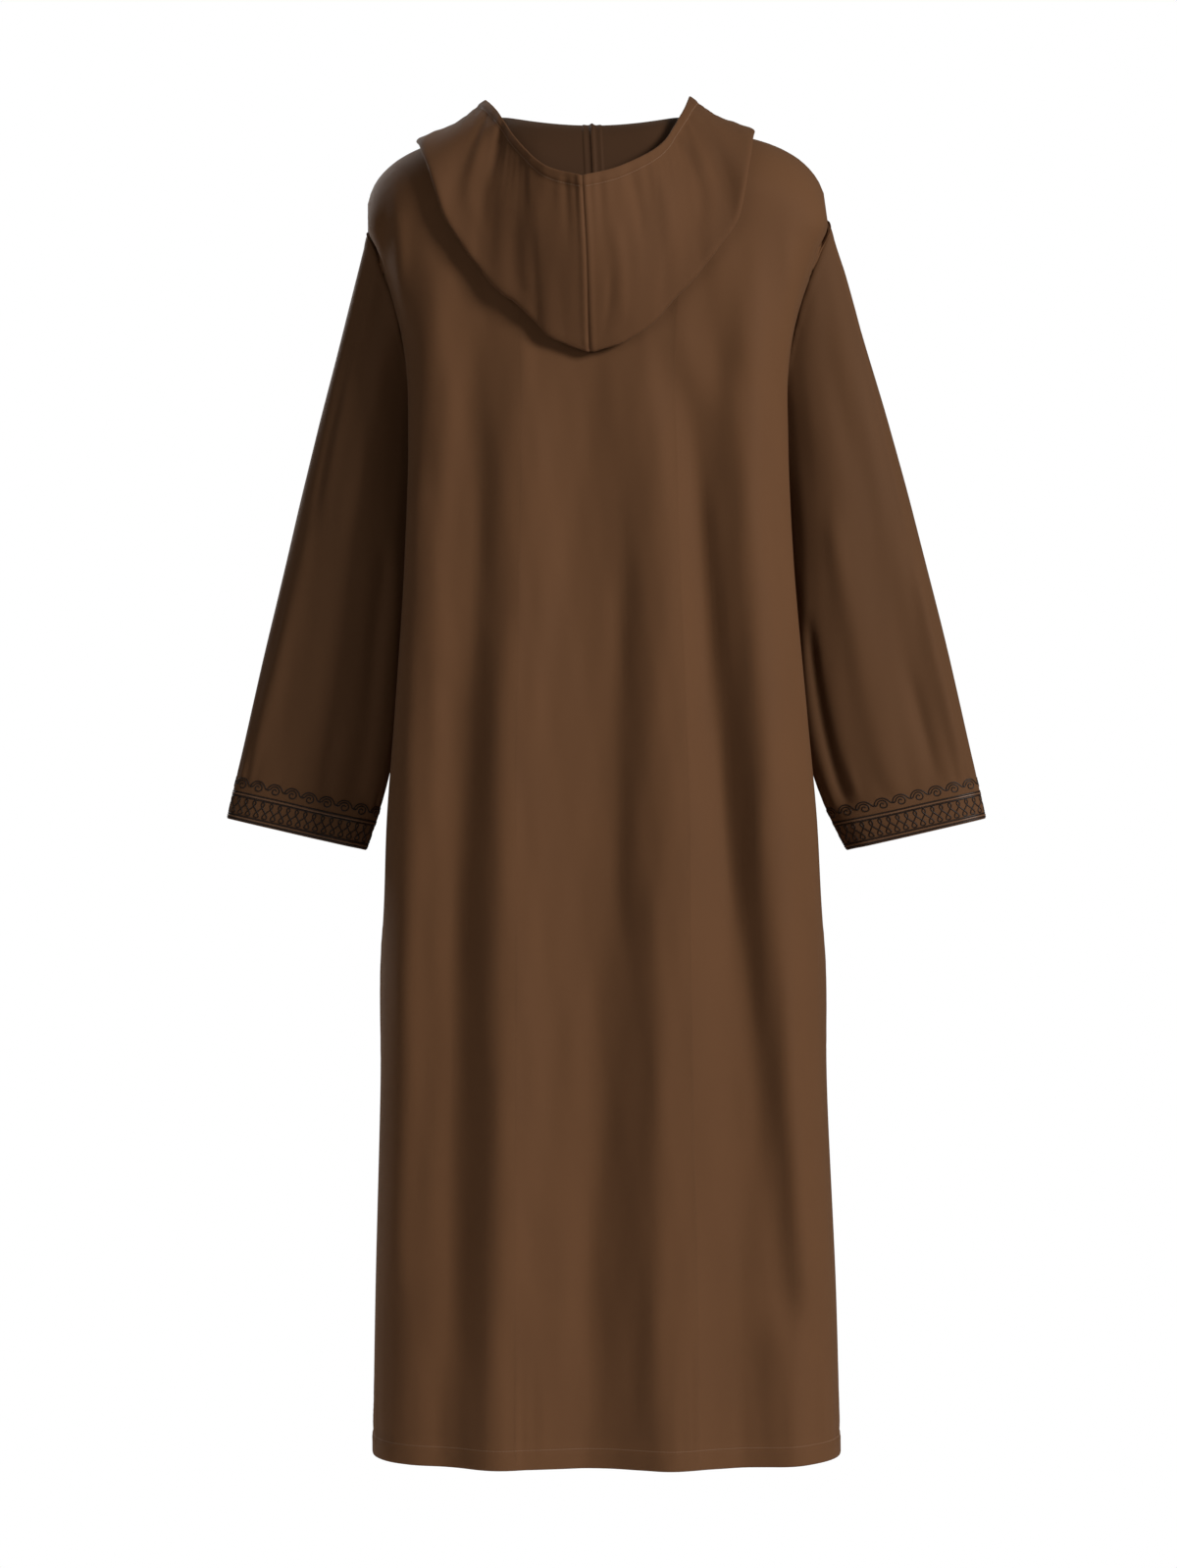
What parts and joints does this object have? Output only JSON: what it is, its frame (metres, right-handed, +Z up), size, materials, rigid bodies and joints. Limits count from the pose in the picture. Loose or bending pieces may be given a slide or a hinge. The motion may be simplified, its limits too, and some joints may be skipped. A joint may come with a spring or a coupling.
{
  "type": "hooded robe",
  "caption": "Long loose hooded djellaba robe in brown cloth, filled out, with set-in sleeves, embroidered sleeve ends and its hood lying down on the back.",
  "frame": {"origin": "middle of the neck, level with the tops of the shoulders, where the wearer carries the robe", "axes": "+Z up, the front faces -Y, the wearer's left is +X"},
  "size_m": [0.818, 0.3194, 1.4531],
  "materials": {
    "body_cloth": "smooth matt brown twill",
    "sleeve_cloth": "smooth matt brown twill",
    "hood_cloth": "smooth matt brown twill",
    "embroidery": "dark raised embroidery thread"
  },
  "bodies": {
    "root": {"back": "body_cloth", "front": "body_cloth", "sleeve_left": "sleeve_cloth", "sleeve_right": "sleeve_cloth", "hood_left": "hood_cloth", "hood_right": "hood_cloth", "band_left": "embroidery", "band_right": "embroidery"}
  },
  "joints": []
}
